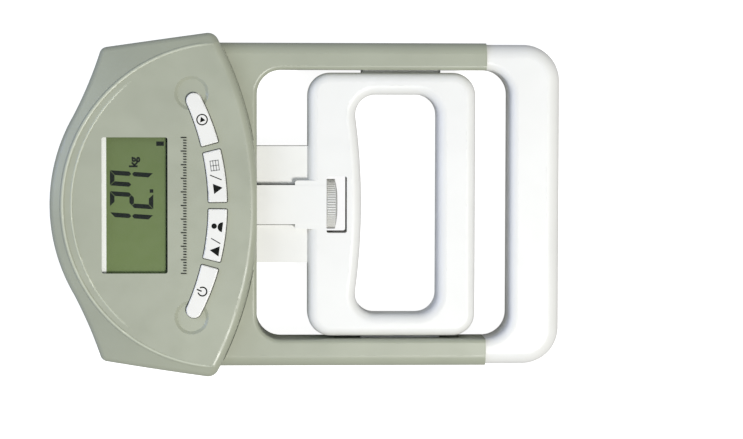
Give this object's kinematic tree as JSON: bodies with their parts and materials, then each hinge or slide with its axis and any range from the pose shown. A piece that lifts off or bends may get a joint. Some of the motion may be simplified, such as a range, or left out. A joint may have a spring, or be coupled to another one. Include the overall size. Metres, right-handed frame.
{
  "type": "hand dynamometer",
  "caption": "Hand-grip strength meter: display head with keys, looped frame with a palm bar, and a pull-in finger ring set by a knurled wheel.",
  "frame": {"origin": "on the rear resting face, below the centre of the object's bounding box", "axes": "+X from the display head to the palm bar, +Y towards the start key, +Z out of the display face"},
  "size_m": [0.189, 0.127, 0.028],
  "materials": {
    "grey_plastic": "fine satin moulding",
    "white_plastic": "fine satin moulding",
    "key_white": "smooth moulding",
    "wheel_white": "knurled moulding",
    "clear_window": "clear polished sheet",
    "lcd": "reflective display glass",
    "holder_white": "plain",
    "black_rubber": "plain",
    "board_green": "solder-masked laminate",
    "chip_black": "moulded epoxy",
    "switch_grey": "plain",
    "steel": "machined",
    "zinc_screw": "bright zinc plate",
    "cell_aluminium": "machined",
    "gauge_foil": "polyimide film",
    "brass": "turned",
    "acetal": "smooth low-friction moulding",
    "battery_sleeve": "printed steel can",
    "wire_red": "insulated wire"
  },
  "bodies": {
    "housing": {"front_cover": "grey_plastic", "frame_front_shell": "grey_plastic", "rear_cover": "grey_plastic", "palm_bar_front": "white_plastic", "palm_bar_rear": "white_plastic", "steel_frame": "steel", "anchor_crossbar": "steel", "crossbar_bolts": "zinc_screw", "load_cell": "cell_aluminium", "load_cell_spacer": "steel", "load_cell_bolts": "zinc_screw", "strain_gauges": "gauge_foil", "gauge_cable": "wire_red", "main_pcb": "board_green", "pcb_screws": "zinc_screw", "pcb_chips": "chip_black", "piezo_buzzer": "chip_black", "lcd_frame": "holder_white", "lcd_glass": "lcd", "lcd_window": "clear_window", "lcd_connector_strips": "black_rubber", "switch_bodies": "switch_grey", "aaa_cells": "battery_sleeve", "battery_plates": "zinc_screw", "battery_springs": "zinc_screw", "battery_wires": "wire_red", "rear_cover_screws": "zinc_screw", "palm_bar_screws": "zinc_screw"},
    "slider": {"pull_rod": "steel", "rod_nuts": "zinc_screw"},
    "finger_grip": {"finger_grip_front": "white_plastic", "finger_grip_rear": "white_plastic", "finger_grip_screws": "zinc_screw", "guide_runners": "acetal", "thrust_washer": "steel"},
    "wheel": {"adjusting_wheel": "wheel_white", "wheel_insert": "brass"},
    "key_start": {"key_start": "key_white", "stem_start": "switch_grey"},
    "key_down": {"key_down": "key_white", "stem_down": "switch_grey"},
    "key_up": {"key_up": "key_white", "stem_up": "switch_grey"},
    "key_on_set": {"key_on_set": "key_white", "stem_on_set": "switch_grey"},
    "door": {"battery_door": "grey_plastic"}
  },
  "joints": [
    {"name": "grip_squeeze", "type": "slide", "parent": "housing", "child": "slider", "axis": [1, 0, 0], "range_m": [0, 0.0003]},
    {"name": "span_adjust", "type": "slide", "parent": "slider", "child": "finger_grip", "axis": [1, 0, 0], "range_m": [-0.006, 0]},
    {"name": "wheel_turn", "type": "hinge", "parent": "finger_grip", "child": "wheel", "pos_m": [0.0098, 0, 0.011], "axis": [1, 0, 0], "range_deg": [-2160, 0]},
    {"name": "key_start_press", "type": "slide", "parent": "housing", "child": "key_start", "axis": [0, 0, -1], "range_m": [0, 0.0006], "stiffness_N_per_m": 300},
    {"name": "key_down_press", "type": "slide", "parent": "housing", "child": "key_down", "axis": [0, 0, -1], "range_m": [0, 0.0006], "stiffness_N_per_m": 300},
    {"name": "key_up_press", "type": "slide", "parent": "housing", "child": "key_up", "axis": [0, 0, -1], "range_m": [0, 0.0006], "stiffness_N_per_m": 300},
    {"name": "key_on_set_press", "type": "slide", "parent": "housing", "child": "key_on_set", "axis": [0, 0, -1], "range_m": [0, 0.0006], "stiffness_N_per_m": 300},
    {"name": "battery_door_swing", "type": "hinge", "parent": "housing", "child": "door", "pos_m": [-0.065, 0, 0.00095], "axis": [0, -1, 0], "range_deg": [0, 90]}
  ],
  "couplings": [
    {"joint": "wheel_turn", "follows": "span_adjust", "rad_per_m": 6283.2}
  ]
}
